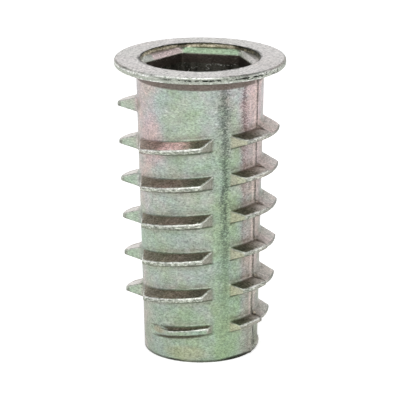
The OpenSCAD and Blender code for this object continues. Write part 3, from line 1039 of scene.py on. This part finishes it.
bumps = add(tree, "Bump", BUMP_SHARE, BUMP_H * MM, BUMP_FILTER, grain)
metal = add(tree, "MapRange", glow, *GLOW_METAL)
top_metal = add(tree, "MapRange", top, *TOP_METAL)
metal = add(tree, "Math", metal, top_metal, operation="MULTIPLY")
shader = tree.nodes["Principled BSDF"]
tree.links.new(metal, shader.inputs["Metallic"])
tree.links.new(colour, shader.inputs["Base Color"])
tree.links.new(rough, shader.inputs["Roughness"])
tree.links.new(bumps, shader.inputs["Normal"])
casting.data.materials.clear()
casting.data.materials.append(finish)
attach(casting, "root")
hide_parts("insert")

# ---------------------------------------------------------------------------- floor
# A sheet of matt white paper that the insert stands on. It is lit a little from
# within, so that the camera and the metal's reflections both see it white.
FLOOR_SIZE, GLOW_SEEN, GLOW_MIRRORED = 4, 0.55, 0.35
PAPER_WHITE, PAPER_ROUGH = "#f4f4f4", 0.9
bpy.ops.object.select_all(action="DESELECT")
bpy.ops.mesh.primitive_plane_add(size=FLOOR_SIZE, location=(0, 0, 0))
floor = bpy.context.object
floor.name = "floor"
paper = bpy.data.materials.new("white_paper")
paper.use_nodes = True
tree = paper.node_tree
rays = add(tree, "LightPath").node.outputs
seen = add(tree, "Math", rays["Is Camera Ray"], GLOW_SEEN, operation="MULTIPLY")
mirrored = (rays["Is Glossy Ray"], GLOW_MIRRORED)
glow = add(tree, "Math", *mirrored, seen, operation="MULTIPLY_ADD")
shader = tree.nodes["Principled BSDF"]
shader.inputs["Base Color"].default_value = linear(PAPER_WHITE)
shader.inputs["Roughness"].default_value = PAPER_ROUGH
shader.inputs["Specular IOR Level"].default_value = 0.0
shader.inputs["Emission Color"].default_value = (1, 1, 1, 1)
tree.links.new(glow, shader.inputs["Emission Strength"])
floor.data.materials.append(paper)
floor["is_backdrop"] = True

# ---------------------------------------------------------------------------- light
# A small studio: bright low walls that light the upright metal, a dark ceiling that
# the upward flanks mirror, and one wide soft lamp above the camera's side.
BRIGHT_TO, DARK_FROM, CEILING = 0.45, 0.72, 0.04
LAMP_SIZE, LAMP_POWER, LAMP_DISTANCE = 1.0, 5.0, 0.8
LAMP_AZIMUTH, LAMP_ELEVATION = math.radians(28), math.radians(65)
world = bpy.data.worlds.new("studio")
bpy.context.scene.world = world
world.use_nodes = True
tree = world.node_tree
ray = add(tree, "TexCoord").node.outputs["Generated"]
steep = add(tree, "SeparateXYZ", ray).node.outputs["Z"]
walls = add(tree, "MapRange", steep, BRIGHT_TO, DARK_FROM, 1, CEILING)
sky = tree.nodes["Background"]
tree.links.new(walls, sky.inputs["Color"])
sky.inputs["Strength"].default_value = 1.0
lamp = bpy.data.lights.new("softbox", "AREA")
lamp.shape = "SQUARE"
lamp.size = LAMP_SIZE
lamp.energy = LAMP_POWER
softbox = bpy.data.objects.new("softbox", lamp)
bpy.context.scene.collection.objects.link(softbox)


def toward(azimuth, elevation):
    """The direction from the insert to a viewer in front of it, turned to the right
    by the azimuth and raised by the elevation."""
    level = math.cos(elevation)
    return Vector(
        (math.sin(azimuth) * level, -math.cos(azimuth) * level, math.sin(elevation))
    )


softbox.location = toward(LAMP_AZIMUTH, LAMP_ELEVATION) * LAMP_DISTANCE
softbox.rotation_euler = softbox.location.to_track_quat("Z", "Y").to_euler()

# --------------------------------------------------------------------------- camera
# A long lens a little above the insert, close enough to show some perspective, with
# the frame a fifth of a degree off level. Colours are shown as they are rendered.
AIM_HEIGHT, AIM_ACROSS = 0.015256, -0.000055
SENSOR, NEAREST, FARTHEST = 36, 0.01, 10
DISTANCE, FOCAL_PIXELS, FRAME_PIXELS = 0.27103, 2707.85, 400
AZIMUTH, ELEVATION, ROLL = (math.radians(a) for a in (28, 16.83, -0.183))
lens = bpy.data.cameras.new("camera")
lens.sensor_width = SENSOR
lens.lens = lens.sensor_width * FOCAL_PIXELS / FRAME_PIXELS
lens.clip_start, lens.clip_end = NEAREST, FARTHEST
camera = bpy.data.objects.new("camera", lens)
bpy.context.scene.collection.objects.link(camera)
across = Vector((math.cos(AZIMUTH), math.sin(AZIMUTH), 0)) * AIM_ACROSS
aim = Vector((0, 0, AIM_HEIGHT)) + across
away = toward(AZIMUTH, ELEVATION)
camera.location = aim + away * DISTANCE
turn = away.to_track_quat("Z", "Y") @ Quaternion((0, 0, 1), ROLL)
camera.rotation_euler = turn.to_euler()
bpy.context.scene.camera = camera
bpy.context.scene.view_settings.view_transform = "Standard"

low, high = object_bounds()
